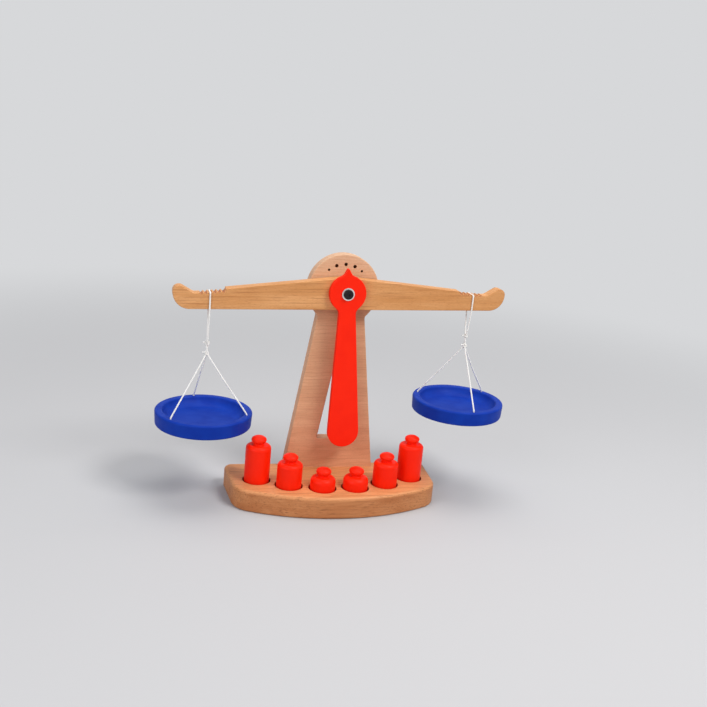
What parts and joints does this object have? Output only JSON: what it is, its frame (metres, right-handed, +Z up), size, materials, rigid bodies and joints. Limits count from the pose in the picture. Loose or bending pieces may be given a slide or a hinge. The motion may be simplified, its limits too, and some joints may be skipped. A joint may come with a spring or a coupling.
{
  "type": "balance scale",
  "caption": "Wooden toy pan balance: an arched base holding stored weights, a pierced pillar, and a tilting beam with a pointer and two pans hung from cords.",
  "frame": {"origin": "on the base's flat underside, straight below the pivot, in the middle of the beam's thickness", "axes": "X along the beam to the viewer's right, Y away from the viewer, Z up"},
  "size_m": [0.4301, 0.1415, 0.295],
  "materials": {
    "stand_wood": "smooth beech, thin clear lacquer",
    "beam_wood": "smooth beech, thin clear lacquer",
    "dowel_wood": "plain beech dowel",
    "red_paint": "wood with satin orange-red paint",
    "blue_paint": "wood with satin royal blue paint",
    "bright_steel": "zinc-plated steel",
    "dark_steel": "blackened steel",
    "cord": "twisted white cotton cord"
  },
  "bodies": {
    "stand": {"base": "stand_wood", "pillar": "stand_wood", "pillar_dowels": "dowel_wood", "pillar_screws": "bright_steel", "pivot_bolt": "dark_steel", "front_washer": "bright_steel", "spacer_washer": "bright_steel", "rear_washer": "bright_steel", "pivot_nut": "bright_steel"},
    "balance_beam": {"beam": "beam_wood", "pointer": "red_paint", "pointer_dowels": "dowel_wood"},
    "left_loop": {"left_loop_cord": "cord"},
    "left_link": {"left_upper_knot": "cord", "left_link_cord": "cord", "left_lower_knot": "cord"},
    "left_hanging_pan": {"left_pan": "blue_paint", "left_pan_cords": "cord", "left_stopper_knots": "cord"},
    "right_loop": {"right_loop_cord": "cord"},
    "right_link": {"right_upper_knot": "cord", "right_link_cord": "cord", "right_lower_knot": "cord"},
    "right_hanging_pan": {"right_pan": "blue_paint", "right_pan_cords": "cord", "right_stopper_knots": "cord"},
    "large_weight_left_body": {"large_weight_left": "red_paint"},
    "medium_weight_left_body": {"medium_weight_left": "red_paint"},
    "small_weight_left_body": {"small_weight_left": "red_paint"},
    "small_weight_right_body": {"small_weight_right": "red_paint"},
    "medium_weight_right_body": {"medium_weight_right": "red_paint"},
    "large_weight_right_body": {"large_weight_right": "red_paint"}
  },
  "joints": [
    {"name": "beam_tilt", "type": "hinge", "parent": "stand", "child": "balance_beam", "pos_m": [0, 0, 0.252], "axis": [0, -1, 0], "range_deg": [-10.5, 5]},
    {"name": "left_loop_turn", "type": "hinge", "parent": "balance_beam", "child": "left_loop", "pos_m": [-0.15819, 0, 0.24591], "axis": [0, -1, 0], "range_deg": [-5, 10.5]},
    {"name": "left_side_swing", "type": "hinge", "parent": "left_loop", "child": "left_link", "pos_m": [-0.15819, 0, 0.18557], "axis": [0, 1, 0], "range_deg": [-8, 8]},
    {"name": "left_front_swing", "type": "hinge", "parent": "left_link", "child": "left_hanging_pan", "pos_m": [-0.15819, 0, 0.17327], "axis": [1, 0, 0], "range_deg": [-10, 10]},
    {"name": "right_loop_turn", "type": "hinge", "parent": "balance_beam", "child": "right_loop", "pos_m": [0.15827, 0, 0.25531], "axis": [0, -1, 0], "range_deg": [-5, 10.5]},
    {"name": "right_side_swing", "type": "hinge", "parent": "right_loop", "child": "right_link", "pos_m": [0.15827, 0, 0.20261], "axis": [0, 1, 0], "range_deg": [-8, 8]},
    {"name": "right_front_swing", "type": "hinge", "parent": "right_link", "child": "right_hanging_pan", "pos_m": [0.15827, 0, 0.19031], "axis": [-1, 0, 0], "range_deg": [-10, 10]},
    {"name": "large_weight_left_lift", "type": "slide", "parent": "stand", "child": "large_weight_left_body", "axis": [0, 0, 1], "range_m": [0, 0.014]},
    {"name": "medium_weight_left_lift", "type": "slide", "parent": "stand", "child": "medium_weight_left_body", "axis": [0, 0, 1], "range_m": [0, 0.03]},
    {"name": "small_weight_left_lift", "type": "slide", "parent": "stand", "child": "small_weight_left_body", "axis": [0, 0, 1], "range_m": [0, 0.03]},
    {"name": "small_weight_right_lift", "type": "slide", "parent": "stand", "child": "small_weight_right_body", "axis": [0, 0, 1], "range_m": [0, 0.03]},
    {"name": "medium_weight_right_lift", "type": "slide", "parent": "stand", "child": "medium_weight_right_body", "axis": [0, 0, 1], "range_m": [0, 0.03]},
    {"name": "large_weight_right_lift", "type": "slide", "parent": "stand", "child": "large_weight_right_body", "axis": [0, 0, 1], "range_m": [0, 0.014]}
  ],
  "couplings": [
    {"joint": "left_loop_turn", "follows": "beam_tilt", "ratio": -1},
    {"joint": "right_loop_turn", "follows": "beam_tilt", "ratio": -1}
  ]
}
